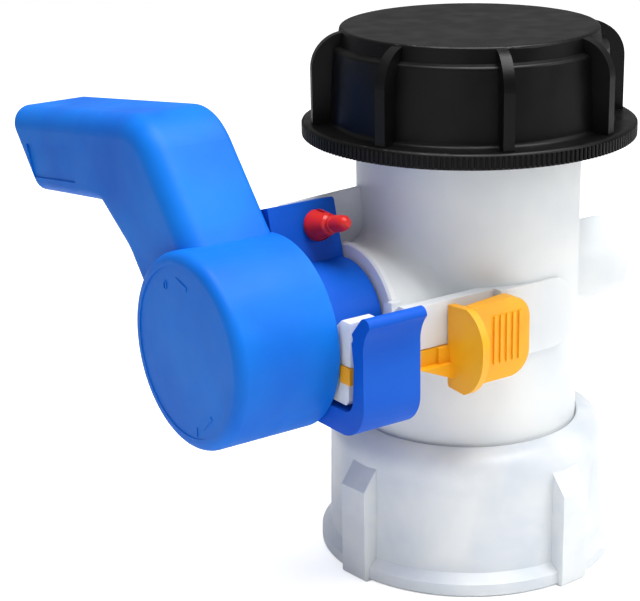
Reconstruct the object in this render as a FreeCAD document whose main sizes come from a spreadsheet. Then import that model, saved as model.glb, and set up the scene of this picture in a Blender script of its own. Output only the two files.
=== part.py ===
import FreeCAD, Part
import os
import re
import Sketcher

# Butterfly valve for the outlet of an intermediate bulk container (DN50, S60x6 thread).
# +Z runs up the pipe, the origin is on the pipe axis in the mouth of the union nut, and the stem
# lies along X with the handle on the -X side. Lengths are in millimetres, angles in degrees.

SIZES = [
    ("stemHeight", 69.1, "stem axis above the mouth of the union nut"),
    # valve body
    ("pipeRadius", 28.0, "outside of the pipe"),
    ("boreRadius", 24.5, "inside of the pipe"),
    ("pipeFoot", 22.8, "sealing face at the tank end of the pipe"),
    ("neckRadius", 28.4, "core of the outlet thread"),
    ("neckFoot", 108.0, "start of the outlet neck"),
    ("neckTop", 130.7, "rim of the outlet neck"),
    ("ringGrooveFoot", 27.2, "underside of the groove for the nut's ring"),
    ("ringGrooveWidth", 2.8, "height of that groove"),
    ("ringGrooveDepth", 1.0, "depth of that groove"),
    ("bossRadius", 17.1, "stem boss on the handle side"),
    ("bossLip", 0.5, "raised lip round the end of the boss"),
    ("bossEnd", 36.4, "face of the boss from the pipe axis"),
    ("bossBlend", 6.0, "fillet where it leaves the pipe"),
    ("tailBossRadius", 10.5, "closed boss on the far side"),
    ("tailBossEnd", 47.9, "end of the closed boss"),
    ("tailBossRound", 2.3, "rounding of that end"),
    ("tailBossBlend", 3.4, "fillet where it leaves the pipe"),
    # stops and lock bracket on the body
    ("plateLean", 15.0, "lean of the pinned plate from upright, away from the lock"),
    ("handleTravel", 75.0, "turn of the handle from shut to open"),
    ("plateThick", 3.5, "thickness of the pinned plate"),
    ("plateRadius", 29.1, "outer edge of the plate from the stem axis"),
    ("stopGap", 0.35, "gap at both handle stops"),
    ("finThick", 3.8, "thickness of the shut stop fin"),
    ("finEnd", 49.0, "free end of the fin from the pipe axis"),
    ("finRadius", 29.2, "outer edge of the fin from the stem axis"),
    ("pinReach", 23.0, "pin axis from the stem axis"),
    ("pinPlace", 43.5, "pin axis from the pipe axis"),
    ("barFront", 26.2, "front of the lock bracket from the stem axis"),
    ("barBack", 17.0, "back of the lock bracket"),
    ("barTop", 8.3, "top of the bracket above the stem axis"),
    ("barBackTop", 3.0, "top of its bevelled back above the stem axis"),
    ("barBevel", 23.0, "where the bevel starts, from the stem axis"),
    ("stopEnd", 36.0, "pipe side of the open stop on the bracket"),
    ("stopReach", 20.2, "outer end of the open stop's face from the stem axis"),
    ("barEnd", 55.5, "free end of the bracket"),
    ("cradleEnd", 41.0, "where the lower lip of the bracket stops"),
    ("cradleFoot", 12.1, "underside of the lower lip below the stem axis"),
    ("cradleFront", 25.4, "front of the lower lip"),
    ("slotTop", 2.4, "roof of the latch slot below the stem axis"),
    ("slotHeight", 4.6, "height of the latch slot"),
    ("slotBack", 22.3, "back of the latch slot"),
    ("keyDepth", 1.6, "depth of the slot's key grooves along Y"),
    ("keyHeight", 1.0, "height of each key groove"),
    ("keyStart", 52.0, "free end of the key grooves"),
    ("slotEnd", 14.6, "closed end of the key grooves"),
    ("padFront", 28.7, "front of the pad beside the bracket"),
    ("padLeft", 13.0, "left end of the pad from the pipe axis"),
    ("padRight", 9.6, "right end of the pad"),
    ("padTop", 8.4, "top of the pad above the stem axis"),
    ("padFoot", 9.3, "foot of the pad below the stem axis"),
    ("padCorner", 6.0, "corner radius of the pad"),
    # stem, seals and bushes
    ("stemRadius", 7.0, "journal of the stem"),
    ("runFit", 0.05, "radial running clearance"),
    ("seatFit", 0.05, "radial clearance of a seated piece"),
    ("airGap", 0.3, "clearance between pieces that move past each other"),
    ("stemTail", 43.5, "tail end of the stem"),
    ("stemDrive", 38.8, "shoulder where the square drive starts"),
    ("stemHead", 60.3, "head end of the stem"),
    ("squareSide", 9.6, "side of the square drive"),
    ("bushWall", 2.4, "wall of the outer bush"),
    ("bushLength", 6.0, "length of the outer bush"),
    ("tailBushWall", 1.9, "wall of the tail bush"),
    ("tailBushStart", 25.2, "inner end of the tail bush"),
    ("tailBoreEnd", 44.0, "end of the blind bore in the tail boss"),
    ("oRingSection", 0.88, "section radius of the O-rings"),
    ("oRingOuterPlace", 28.7, "outer O-ring from the pipe axis"),
    ("oRingInnerPlace", 26.0, "inner O-ring from the pipe axis"),
    ("clipPlace", 37.5, "inner side of the clip groove"),
    ("clipWidth", 0.8, "width of the clip groove"),
    ("clipGrooveRadius", 6.2, "bottom of the clip groove"),
    ("clipRadius", 9.0, "outside of the clip"),
    ("washerThick", 0.7, "thrust washer"),
    ("washerRadius", 9.6, "outside of the thrust washer"),
    # disc
    ("discRadius", 22.6, "rim of the disc"),
    ("discRimHalf", 1.9, "half thickness at the rim"),
    ("discMidHalf", 3.0, "half thickness at the middle"),
    ("discHubRadius", 10.0, "tube of the disc round the stem"),
    ("discHubHalf", 21.0, "half length of that tube"),
    ("discRibPlace", 15.6, "stiffening ribs from the middle"),
    ("discRibThick", 1.8, "thickness of a rib"),
    ("sealRadius", 24.3, "outside of the edge seal"),
    ("sealGroove", 1.15, "depth of the seal's key in the rim"),
    ("sealKeyHalf", 0.75, "half width of that key"),
    ("eyeletRadius", 8.2, "outside of the seal's eyelets round the stem"),
    ("eyeletEnd", 22.8, "outer end of the eyelets"),
    ("discScrewPlace", 10.5, "disc screws from the middle"),
    ("discScrewRadius", 1.6, "shank of a disc screw"),
    ("discScrewHead", 3.0, "head radius of a disc screw"),
    ("discScrewHeadHigh", 1.7, "head height of a disc screw"),
    ("discScrewSeat", 8.2, "seat of the head above the stem axis"),
    ("discScrewReach", 5.0, "tip of the screw below the stem axis"),
    # handle: collar side
    ("collarRadius", 14.5, "collar between the hub and the body"),
    ("collarEnd", 37.1, "body end of the collar"),
    ("hubRear", 56.3, "rear rim of the hub"),
    ("flangeRadius", 20.6, "flange of the collar inside the hub"),
    ("flangeThick", 4.0, "thickness of that flange"),
    ("cupRadius", 10.2, "recess for the clip and washer"),
    ("cupDepth", 3.1, "depth of that recess"),
    ("hookEnd", 40.0, "body side of the hook"),
    ("hookOuter", 32.3, "outer face of the hook from the stem axis"),
    ("hookFoot", 19.2, "underside of the hook below the stem axis"),
    ("hookThick", 4.3, "wall of the hook"),
    ("hookFootThick", 5.8, "foot of the hook"),
    ("hookCorner", 8.6, "outer corner of the hook"),
    ("hookLipTop", 11.3, "tip of the hook above the stem axis"),
    ("hookCurl", 2.5, "outward curl of the hook's lip"),
    # handle: lever
    ("hubRadius", 23.7, "hub of the lever"),
    ("hubFace", 84.0, "front face of the hub"),
    ("hubRound", 2.6, "rounding of the hub's front edge"),
    ("hubDish", 0.25, "depth of the shallow dish in the hub's face"),
    ("hubWall", 2.8, "wall of the hub"),
    ("leverFront", 80.0, "front face of the arm and grip"),
    ("leverThick", 23.0, "depth of the arm and grip along the stem"),
    ("armLean", 40.0, "lean of the arm from upright, away from the lock"),
    ("armLeft", 13.2, "outer side of the arm from its centre line"),
    ("armRight", 13.8, "inner side of the arm from its centre line"),
    ("elbowReach", 55.1, "elbow along the arm from the stem axis"),
    ("elbowRound", 17.0, "outer radius of the elbow"),
    ("gripDroop", 7.6, "fall of the grip from level"),
    ("gripLength", 72.1, "top of the grip from elbow to tip"),
    ("gripDepth", 21.8, "depth of the grip"),
    ("gripTipBack", 58.4, "bottom of the tip from the elbow"),
    ("gripHeel", 23.3, "inner end of the grip's underside"),
    ("throatReach", 33.5, "where the arm starts to widen towards the grip"),
    ("leverEdge", 5.6, "rounding of the top and outer front edges"),
    ("leverInnerEdge", 2.4, "rounding of the tip and of the inner front edges"),
    ("leverBackEdge", 1.4, "rounding round the rear face"),
    ("tipRound", 5.0, "rounding of the grip's lower tip corner"),
    ("heelRound", 2.5, "rounding of the grip's heel"),
    ("panelInner", 35.2, "inner end of the recessed panel from the elbow"),
    ("panelOuter", 61.0, "outer end of its top edge"),
    ("panelTop", 9.3, "top of the panel below the top of the grip"),
    ("panelFoot", 18.0, "foot of the panel below the top of the grip"),
    ("panelDepth", 0.5, "depth of the panel"),
    ("leverWall", 3.2, "wall left round the cored back"),
    ("coreDepth", 18.6, "depth of the cored cells"),
    ("coreRib", 2.2, "ribs between the cells"),
    ("hubScrewReach", 17.6, "hub screws from the stem axis"),
    ("hubScrewTurn", 45.0, "angle of the first hub screw from +Y"),
    ("hubScrewRadius", 1.45, "shank of a hub screw"),
    ("hubScrewHead", 2.6, "head radius of a hub screw"),
    ("hubScrewHeadHigh", 1.7, "head height of a hub screw"),
    ("hubScrewLength", 12.0, "shank length of a hub screw"),
    ("hubPostRadius", 3.4, "screw post in the hub"),
    ("endScrewRadius", 2.0, "shank of the stem end screw"),
    ("endScrewLength", 10.0, "shank length of the stem end screw"),
    ("endScrewHead", 4.0, "head radius of the stem end screw"),
    ("endScrewHeadHigh", 2.6, "head height of the stem end screw"),
    ("endWasherRadius", 8.5, "washer under that head"),
    ("endWasherThick", 1.2, "thickness of that washer"),
    # pin
    ("pinHole", 2.05, "pin hole in the plate"),
    ("pinTail", 2.0, "tail of the pin"),
    ("pinBarb", 3.9, "base of the split barb"),
    ("pinNose", 2.1, "nose of the pin"),
    ("pinLength", 13.8, "pin in front of the plate"),
    ("pinSlit", 0.8, "slit in the barb"),
    ("finHole", 2.4, "pin hole in the fin"),
    # latch
    ("latchTravel", 12.0, "travel of the latch"),
    ("tongueEnd", 55.9, "tip of the tongue"),
    ("tongueFront", 26.4, "front of the tongue"),
    ("wingPlace", 27.6, "left face of the wing"),
    ("wingThick", 2.0, "thickness of the wing"),
    ("wingInner", 26.8, "inner edge of the wing"),
    ("wingOuter", 39.8, "outermost point of the wing"),
    ("wingTop", 7.9, "top of the wing above the stem axis"),
    ("wingFoot", 13.4, "foot of the wing below the stem axis"),
    ("paddleBack", 31.0, "back of the thumb paddle"),
    ("paddleThick", 3.6, "thickness of the paddle"),
    ("paddleEnd", 9.0, "right end of the paddle"),
    ("paddleTop", 8.7, "top of the paddle"),
    ("paddleFoot", 11.0, "foot of the paddle"),
    ("paddleCorner", 6.0, "corner radius of the paddle"),
    ("paddleRibs", 5, "grip ribs on the paddle"),
    ("paddleRibStep", 1.9, "spacing of the ribs"),
    ("paddleRibWidth", 0.8, "width of a rib"),
    ("paddleRibHigh", 0.5, "height of a rib"),
    # cap
    ("capTop", 136.2, "top of the cap"),
    ("capFaceRadius", 31.85, "flat top of the cap"),
    ("capStep", 132.1, "ledge below the flat top"),
    ("capShoulder", 34.1, "wall of the cap at the ledge"),
    ("capWallFoot", 35.0, "wall of the cap above its flange"),
    ("capBore", 30.4, "inside of the cap"),
    ("capRoof", 3.1, "thickness of the top"),
    ("capFlange", 41.0, "flange of the cap"),
    ("capFlangeFoot", 109.4, "underside of the flange"),
    ("capFlangeThick", 3.9, "thickness of the flange"),
    ("capRibRadius", 39.3, "outer edge of the cap's ribs"),
    ("capRibThick", 2.7, "thickness of a rib"),
    ("capRibTurn", 19.5, "angle of the first rib from +X"),
    ("capRibs", 8, "ribs round the cap"),
    ("capRibBend", 9.0, "shoulder radius of a rib"),
    ("gasketThick", 2.0, "cap gasket"),
    ("gasketHole", 22.5, "hole of the cap gasket"),
    ("gasketRadius", 29.3, "outside of the cap gasket"),
    # union nut
    ("nutFlange", 37.95, "flange at the mouth of the nut"),
    ("nutFlangeHigh", 3.6, "straight height of the flange"),
    ("nutShelf", 5.8, "top of the flange's slope"),
    ("nutWall", 35.6, "wall of the nut"),
    ("nutTop", 36.5, "top of the nut"),
    ("nutRound", 6.3, "rounded shoulder of the nut"),
    ("nutThread", 30.3, "threaded bore of the nut"),
    ("nutThreadHigh", 19.4, "length of the threaded bore"),
    ("nutRelief", 31.2, "relief above the thread"),
    ("nutLugRadius", 39.2, "outer face of a lug"),
    ("nutLugWidth", 8.6, "width of a lug"),
    ("nutLugTop", 29.4, "top of a lug at the wall"),
    ("nutLugChamfer", 5.0, "slope at the top of a lug"),
    ("nutLugs", 4, "lugs round the nut"),
    ("nutLugTurn", 5.0, "angle of the first lug from +X"),
    ("ringRadius", 30.4, "outside of the nut's ring"),
    ("ringThick", 2.4, "height of the nut's ring"),
    ("ringSweep", 346.0, "arc of the split ring"),
    ("seatThick", 2.9, "inlet gasket"),
    ("seatRadius", 29.9, "outside of the inlet gasket"),
]

doc = FreeCAD.newDocument("BulkTankValve")
sheet = doc.addObject("Spreadsheet::Sheet", "Sizes")
for line, (alias, size, note) in enumerate(SIZES, start=1):
    sheet.set(f"A{line}", alias)
    sheet.set(f"B{line}", str(size))
    sheet.setAlias(f"B{line}", alias)
    sheet.set(f"C{line}", note)
doc.recompute()

ALIASES = {alias for alias, size, note in SIZES}
WORD = re.compile(r"[A-Za-z]+")


def bound(formula):
    """The formula with each alias written as a cell of the sheet."""
    return WORD.sub(lambda word: f"Sizes.{word[0]}" if word[0] in ALIASES else word[0], str(formula))


def value(formula):
    """What a formula comes to with the sheet's present numbers."""
    return float(sheet.evalExpression(bound(formula)))


def new_body(label):
    body = doc.addObject("PartDesign::Body", label)
    body.Label = label
    return body


def on_stem_axis(body):
    """Lifts a body so that its own origin is where the stem axis crosses the pipe axis."""
    body.setExpression("Placement.Base.z", bound("stemHeight"))
    return body


def origin_plane(body, role):
    return next(item for item in body.Origin.OriginFeatures if item.Role == role)


def new_sketch(body, plane, shift="0", lean=None, turn=None):
    """A sketch on an origin plane, shifted along its normal; lean tips it about its own x, turn about its y."""
    sketch = body.newObject("Sketcher::SketchObject", f"{body.Name}Sketch")
    sketch.AttachmentSupport = [(origin_plane(body, plane), "")]
    sketch.MapMode = "FlatFace"
    if lean:
        sketch.AttachmentOffset = FreeCAD.Placement(FreeCAD.Vector(), FreeCAD.Rotation(FreeCAD.Vector(-1, 0, 0), 1))
        sketch.setExpression("AttachmentOffset.Rotation.Angle", bound(lean))
        sketch.setExpression("AttachmentOffset.Base.y", bound(f"({shift}) * sin({lean})"))
        sketch.setExpression("AttachmentOffset.Base.z", bound(f"({shift}) * cos({lean})"))
    elif turn:
        sketch.AttachmentOffset = FreeCAD.Placement(FreeCAD.Vector(), FreeCAD.Rotation(FreeCAD.Vector(0, 1, 0), 1))
        sketch.setExpression("AttachmentOffset.Rotation.Angle", bound(turn))
    else:
        sketch.setExpression("AttachmentOffset.Base.z", bound(shift))
    return sketch


def arc_between(start, end, radius, left):
    """The arc of a radius from start to end, with its centre to the left or right of the way there."""
    chord = end - start
    middle = (start + end) * 0.5
    rise = max(radius * radius - chord.Length ** 2 / 4, 0) ** 0.5
    side = FreeCAD.Vector(-chord.y, chord.x, 0).normalize() * (rise if left else -rise)
    centre = middle + side
    first, last = (start, end) if left else (end, start)
    circle = Part.Circle(centre, FreeCAD.Vector(0, 0, 1), radius)
    return Part.ArcOfCircle(circle, circle.parameter(first), circle.parameter(last))


def draw_loop(sketch, corners):
    """A closed outline. A corner is (x, y), or (x, y, radius, "left" or "right") where an arc leads on from it."""
    points = [FreeCAD.Vector(value(corner[0]), value(corner[1]), 0) for corner in corners]
    first = sketch.GeometryCount
    ends = []
    rules = []
    for index, corner in enumerate(corners):
        start, end = points[index], points[(index + 1) % len(points)]
        if len(corner) == 2:
            sketch.addGeometry(Part.LineSegment(start, end), False)
            ends.append((1, 2))
        else:
            sketch.addGeometry(arc_between(start, end, value(corner[2]), corner[3] == "left"), False)
            ends.append((1, 2) if corner[3] == "left" else (2, 1))
    for index, corner in enumerate(corners):
        here, after = first + index, first + (index + 1) % len(corners)
        sketch.addConstraint(Sketcher.Constraint("Coincident", here, ends[index][1], after, ends[after - first][0]))
        rules.append(("DistanceX", here, ends[index][0], points[index].x, corner[0]))
        rules.append(("DistanceY", here, ends[index][0], points[index].y, corner[1]))
        if len(corner) > 2:
            rules.append(("Radius", here, None, value(corner[2]), corner[2]))
    for kind, edge, end, number, formula in rules:
        if kind == "Radius":
            place = sketch.addConstraint(Sketcher.Constraint(kind, edge, number))
        else:
            place = sketch.addConstraint(Sketcher.Constraint(kind, -1, 1, edge, end, number))
        sketch.setExpression(f"Constraints[{place}]", bound(formula))


def draw_circle(sketch, x, y, radius):
    centre = FreeCAD.Vector(value(x), value(y), 0)
    edge = sketch.addGeometry(Part.Circle(centre, FreeCAD.Vector(0, 0, 1), value(radius)), False)
    rules = [
        (Sketcher.Constraint("DistanceX", -1, 1, edge, 3, centre.x), x),
        (Sketcher.Constraint("DistanceY", -1, 1, edge, 3, centre.y), y),
        (Sketcher.Constraint("Radius", edge, value(radius)), radius),
    ]
    for rule, formula in rules:
        sketch.setExpression(f"Constraints[{sketch.addConstraint(rule)}]", bound(formula))


def draw(sketch, shapes):
    for shape in shapes:
        if isinstance(shape, tuple):
            draw_circle(sketch, *shape)
        else:
            draw_loop(sketch, shape)


def turned(body, kind, shapes, axis, angle="360", **place):
    """Revolves a profile drawn on the XZ plane about Z (axis "pipe") or X (axis "stem")."""
    sketch = new_sketch(body, "XZ_Plane", **place)
    draw(sketch, shapes)
    feature = body.newObject(f"PartDesign::{kind}", f"{body.Name}{kind}")
    feature.Profile = (sketch, [""])
    feature.ReferenceAxis = (sketch, ["V_Axis" if axis == "pipe" else "H_Axis"])
    feature.setExpression("Angle", bound(angle))
    doc.recompute()
    return feature


def extruded(body, kind, plane, shapes, length, both=False, back=False, **place):
    """Pads or pockets a sketch along its plane's normal; back goes the other way, both goes half each way."""
    sketch = new_sketch(body, plane, **place)
    draw(sketch, shapes)
    feature = body.newObject(f"PartDesign::{kind}", f"{body.Name}{kind}")
    feature.Profile = (sketch, [""])
    feature.setExpression("Length", bound(length))
    feature.Midplane = both
    # a pocket cuts against the normal unless it is reversed, so that both kinds fill the same space
    feature.Reversed = back if kind == "Pad" else not back
    doc.recompute()
    return feature


def repeated(body, feature, count, plane_axis):
    """A polar pattern of one feature round an origin axis of its body."""
    pattern = body.newObject("PartDesign::PolarPattern", f"{body.Name}Pattern")
    pattern.Originals = [feature]
    pattern.Axis = (origin_plane(body, plane_axis), [""])
    pattern.Angle = 360
    pattern.setExpression("Occurrences", bound(count))
    body.Tip = pattern
    doc.recompute()
    return pattern


def rounded(body, feature, radius, chosen):
    """Fillets the edges of a feature for which chosen(edge) holds."""
    names = [f"Edge{number}" for number, edge in enumerate(feature.Shape.Edges, start=1) if chosen(edge)]
    fillet = body.newObject("PartDesign::Fillet", f"{body.Name}Fillet")
    fillet.Base = (feature, names)
    fillet.setExpression("Radius", bound(radius))
    doc.recompute()
    return fillet


def rectangle(left, right, low, high):
    return [(left, low), (right, low), (right, high), (left, high)]


def all_at(edge, axis, place, slack=0.01):
    """Whether the whole edge lies in the plane where that coordinate has that value."""
    return all(abs(getattr(edge.valueAt(at), axis) - place) < slack for at in edge.ParameterRange) and (
        abs(getattr(edge.CenterOfMass, axis) - place) < slack
    )


def open_point(out, ahead):
    """Where a point of the stop plate comes with the handle open: out from the stem axis, ahead of mid-plate."""
    turn = "(90 - plateLean + handleTravel)"
    return (
        f"({out}) * cos({turn}) - ({ahead}) * sin({turn})",
        f"({out}) * sin({turn}) + ({ahead}) * cos({turn})",
    )


def make_valve_body():
    body = on_stem_axis(new_body("valve_body"))
    foot = "pipeFoot - stemHeight"
    rim = "neckTop - stemHeight"
    neck = "neckFoot - stemHeight"
    groove = "ringGrooveFoot - stemHeight"
    pipe = [
        ("0", foot),
        ("pipeRadius - 0.8", foot),
        ("pipeRadius", f"{foot} + 0.8"),
        ("pipeRadius", groove),
        ("pipeRadius - ringGrooveDepth", groove),
        ("pipeRadius - ringGrooveDepth", f"{groove} + ringGrooveWidth"),
        ("pipeRadius", f"{groove} + ringGrooveWidth"),
        ("pipeRadius", f"{neck} - 1"),
        ("neckRadius", neck),
        ("neckRadius", f"{rim} - 1"),
        ("neckRadius - 1", rim),
        ("0", rim),
    ]
    turned(body, "Revolution", [pipe], "pipe")
    handle_boss = [
        ("-bossEnd", "0"),
        ("-bossEnd", "bossRadius"),
        ("-bossEnd + bossLip", "bossRadius + bossLip"),
        ("-bossEnd + 3 * bossLip", "bossRadius + bossLip"),
        ("-bossEnd + 4 * bossLip", "bossRadius"),
        ("-boreRadius + 4", "bossRadius"),
        ("-boreRadius + 4", "0"),
    ]
    turned(body, "Revolution", [handle_boss], "stem")
    tail_boss = [
        ("boreRadius - 4", "0"),
        ("boreRadius - 4", "tailBossRadius"),
        ("tailBossEnd - tailBossRound", "tailBossRadius", "tailBossRound", "right"),
        ("tailBossEnd", "tailBossRadius - tailBossRound"),
        ("tailBossEnd", "0"),
    ]
    bosses = turned(body, "Revolution", [tail_boss], "stem")

    def at_root(radius):
        return lambda edge: all(
            abs(abs(complex(spot.x, spot.y)) - value("pipeRadius")) < 0.01
            and abs(abs(complex(spot.y, spot.z)) - value(radius)) < 0.01
            for spot in edge.discretize(5)
        )

    bosses = rounded(body, bosses, "bossBlend", at_root("bossRadius"))
    rounded(body, bosses, "tailBossBlend", at_root("tailBossRadius"))
    # shut stop: a fin beside the pinned plate, leaning with it
    fin = [
        ("-finEnd", "collarRadius + airGap + 0.6"),
        ("-bossEnd + airGap", "collarRadius + airGap + 0.6"),
        ("-bossEnd + airGap", "bossRadius - 6"),
        ("-boreRadius + 4", "bossRadius - 6"),
        ("-boreRadius + 4", "finRadius + 1"),
        ("-finEnd + 1.5", "finRadius", "1.5", "left"),
        ("-finEnd", "finRadius - 1.5"),
    ]
    extruded(
        body, "Pad", "XZ_Plane", [fin], "finThick",
        shift="-plateThick / 2 - stopGap - finThick", lean="plateLean",
    )
    # lock bracket: bar, web and lower lip round the latch slot
    bar = [
        ("-barFront", "barTop"),
        ("-barFront", "-slotTop"),
        ("-barBack", "-slotTop"),
        ("-barBack", "barBackTop"),
        ("-barBevel", "barTop"),
    ]
    extruded(body, "Pad", "YZ_Plane", [bar], "barEnd - 8", shift="-barEnd")
    # the pin in the plate comes down on the bar as the handle opens, so the bar is notched for it
    notch = [
        open_point("pinReach - pinBarb - airGap", "-1"),
        open_point("pinReach - pinBarb - airGap", "plateThick / 2 + 1.9"),
        open_point("pinReach - pinNose - 0.9", "plateThick / 2 + 6.8"),
        open_point("pinReach - pinNose - 0.5", "plateThick / 2 + pinLength + airGap"),
        ("-barFront - 3", "-slotTop - 1.2"),
        ("-barFront - 3", "barTop + 3"),
    ]
    notch_end = "(pinPlace - pinBarb - airGap - 0.1)"
    extruded(body, "Pocket", "YZ_Plane", [notch], f"2 * (pinPlace - {notch_end})", shift=f"{notch_end} - 2 * pinPlace")
    stop_face = [open_point(reach, "plateThick / 2 + stopGap") for reach in ("stopReach - 1.8", "stopReach")]
    stop = [("-barBack", "0"), ("-barBack", stop_face[0][1]), *stop_face[1:], ("-stopReach", stop_face[1][1]),
            ("-stopReach", "0")]
    extruded(body, "Pad", "YZ_Plane", [stop], f"{notch_end} - stopEnd", shift=f"-{notch_end}")
    cradle = [
        ("-slotBack", "-slotTop"),
        ("-slotBack", "-slotTop - slotHeight"),
        ("-cradleFront", "-slotTop - slotHeight"),
        ("-cradleFront", "-cradleFoot + 1.2"),
        ("-cradleFront + 1.2", "-cradleFoot"),
        ("-barBack", "-cradleFoot"),
        ("-barBack", "-slotTop"),
    ]
    extruded(body, "Pad", "YZ_Plane", [cradle], "barEnd - cradleEnd", shift="-barEnd")
    pad = [
        ("-padLeft", "-padFoot"),
        ("padRight - padCorner", "-padFoot", "padCorner", "left"),
        ("padRight", "-padFoot + padCorner"),
        ("padRight", "padTop - padCorner", "padCorner", "left"),
        ("padRight - padCorner", "padTop"),
        ("-padLeft", "padTop"),
    ]
    extruded(body, "Pad", "XZ_Plane", [pad], "padFront - 20", shift="20")
    key = rectangle(
        "-slotBack - keyDepth", "-slotBack",
        "-slotTop - slotHeight - keyHeight", "-slotTop + keyHeight",
    )
    extruded(body, "Pocket", "YZ_Plane", [key], "keyStart - slotEnd", shift="-keyStart")
    bore = rectangle("0", "boreRadius", f"{foot} - 1", f"{rim} + 1")
    turned(body, "Groove", [bore], "pipe")
    stem_way = [
        ("-bossEnd - 1", "0"),
        ("-bossEnd - 1", "stemRadius + runFit + bushWall + seatFit"),
        ("-bossEnd + bushLength + seatFit", "stemRadius + runFit + bushWall + seatFit"),
        ("-bossEnd + bushLength + seatFit", "stemRadius + runFit"),
        ("0", "stemRadius + runFit"),
        ("0", "stemRadius + runFit + tailBushWall + seatFit"),
        ("tailBoreEnd", "stemRadius + runFit + tailBushWall + seatFit"),
        ("tailBoreEnd", "0"),
    ]
    turned(body, "Groove", [stem_way], "stem")
    hole = ("-pinPlace", "pinReach", "finHole")
    extruded(body, "Pocket", "XZ_Plane", [hole], "finThick + 2", shift="-plateThick / 2", lean="plateLean", back=True)
    return body


def make_outlet_cap():
    body = new_body("outlet_cap")
    flange_top = "capFlangeFoot + capFlangeThick"
    shell = [
        ("0", "capTop"),
        ("0", "capTop - capRoof"),
        ("gasketRadius + airGap", "capTop - capRoof"),
        ("gasketRadius + airGap", "neckTop + airGap"),
        ("capBore", "neckTop - 0.5"),
        ("capBore", "capFlangeFoot"),
        ("capFlange - 0.7", "capFlangeFoot"),
        ("capFlange", "capFlangeFoot + 0.7"),
        ("capFlange", f"{flange_top} - 1", "1", "left"),
        ("capFlange - 1", flange_top),
        ("capWallFoot + 1.2", flange_top, "1.2", "right"),
        ("capWallFoot", f"{flange_top} + 1.2"),
        ("capShoulder", "capStep - 1", "1", "left"),
        ("capShoulder - 1", "capStep"),
        ("capFaceRadius + 0.5", "capStep + 0.3"),
        ("capFaceRadius", "capTop - 0.8", "0.8", "left"),
        ("capFaceRadius - 0.8", "capTop"),
    ]
    turned(body, "Revolution", [shell], "pipe")
    rib = [
        ("capRibRadius - capRibBend - 1", f"{flange_top} - 1"),
        ("capRibRadius", f"{flange_top} - 1"),
        ("capRibRadius", "capTop - 0.4 - capRibBend", "capRibBend", "left"),
        ("capRibRadius - capRibBend", "capTop - 0.4"),
        ("capRibRadius - capRibBend - 1", "capTop - 0.4"),
    ]
    blade = extruded(body, "Pad", "XZ_Plane", [rib], "capRibThick", both=True, turn="capRibTurn")
    repeated(body, blade, "capRibs", "Z_Axis")
    bore = rectangle("0", "capBore", "capFlangeFoot - 1", "neckTop - 0.5")
    turned(body, "Groove", [bore], "pipe")
    return body


def make_cap_gasket():
    body = new_body("cap_gasket")
    seat = "capTop - capRoof - 0.05"
    turned(body, "Revolution", [rectangle("gasketHole", "gasketRadius", f"{seat} - gasketThick", seat)], "pipe")
    return body


def make_union_nut():
    body = new_body("union_nut")
    shoulder = "ringGrooveFoot + ringGrooveWidth + 0.2"
    shell = [
        ("nutThread", "0.6"),
        ("nutThread + 0.6", "0"),
        ("nutFlange - 0.8", "0"),
        ("nutFlange", "0.8"),
        ("nutFlange", "nutFlangeHigh"),
        ("nutWall", "nutShelf"),
        ("nutWall - 0.3", "nutTop - nutRound", "nutRound", "left"),
        ("nutWall - 0.3 - nutRound", "nutTop"),
        ("pipeRadius + airGap + 0.4", "nutTop"),
        ("pipeRadius + airGap", "nutTop - 0.4"),
        ("pipeRadius + airGap", shoulder),
        ("nutRelief", shoulder),
        ("nutRelief", "nutThreadHigh + 0.2"),
        ("nutThread", "nutThreadHigh"),
    ]
    turned(body, "Revolution", [shell], "pipe")
    lug = [
        ("nutRelief + 1", "0"),
        ("nutLugRadius - 0.6", "0"),
        ("nutLugRadius", "0.6"),
        ("nutLugRadius", "nutLugTop - nutLugChamfer"),
        ("nutWall - 1", "nutLugTop + 1"),
        ("nutRelief + 1", "nutLugTop + 1"),
    ]
    first = extruded(body, "Pad", "XZ_Plane", [lug], "nutLugWidth", both=True, turn="nutLugTurn")
    repeated(body, first, "nutLugs", "Z_Axis")
    return body


def make_nut_ring():
    body = new_body("nut_retaining_ring")
    foot = "ringGrooveFoot + (ringGrooveWidth - ringThick) / 2"
    section = rectangle("pipeRadius - ringGrooveDepth + 0.1", "ringRadius", foot, f"{foot} + ringThick")
    turned(body, "Revolution", [section], "pipe", angle="ringSweep")
    return body


def make_inlet_gasket():
    body = new_body("inlet_gasket")
    section = rectangle("boreRadius + 0.1", "seatRadius", "pipeFoot - 0.05 - seatThick", "pipeFoot - 0.05")
    turned(body, "Revolution", [section], "pipe")
    return body


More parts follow.
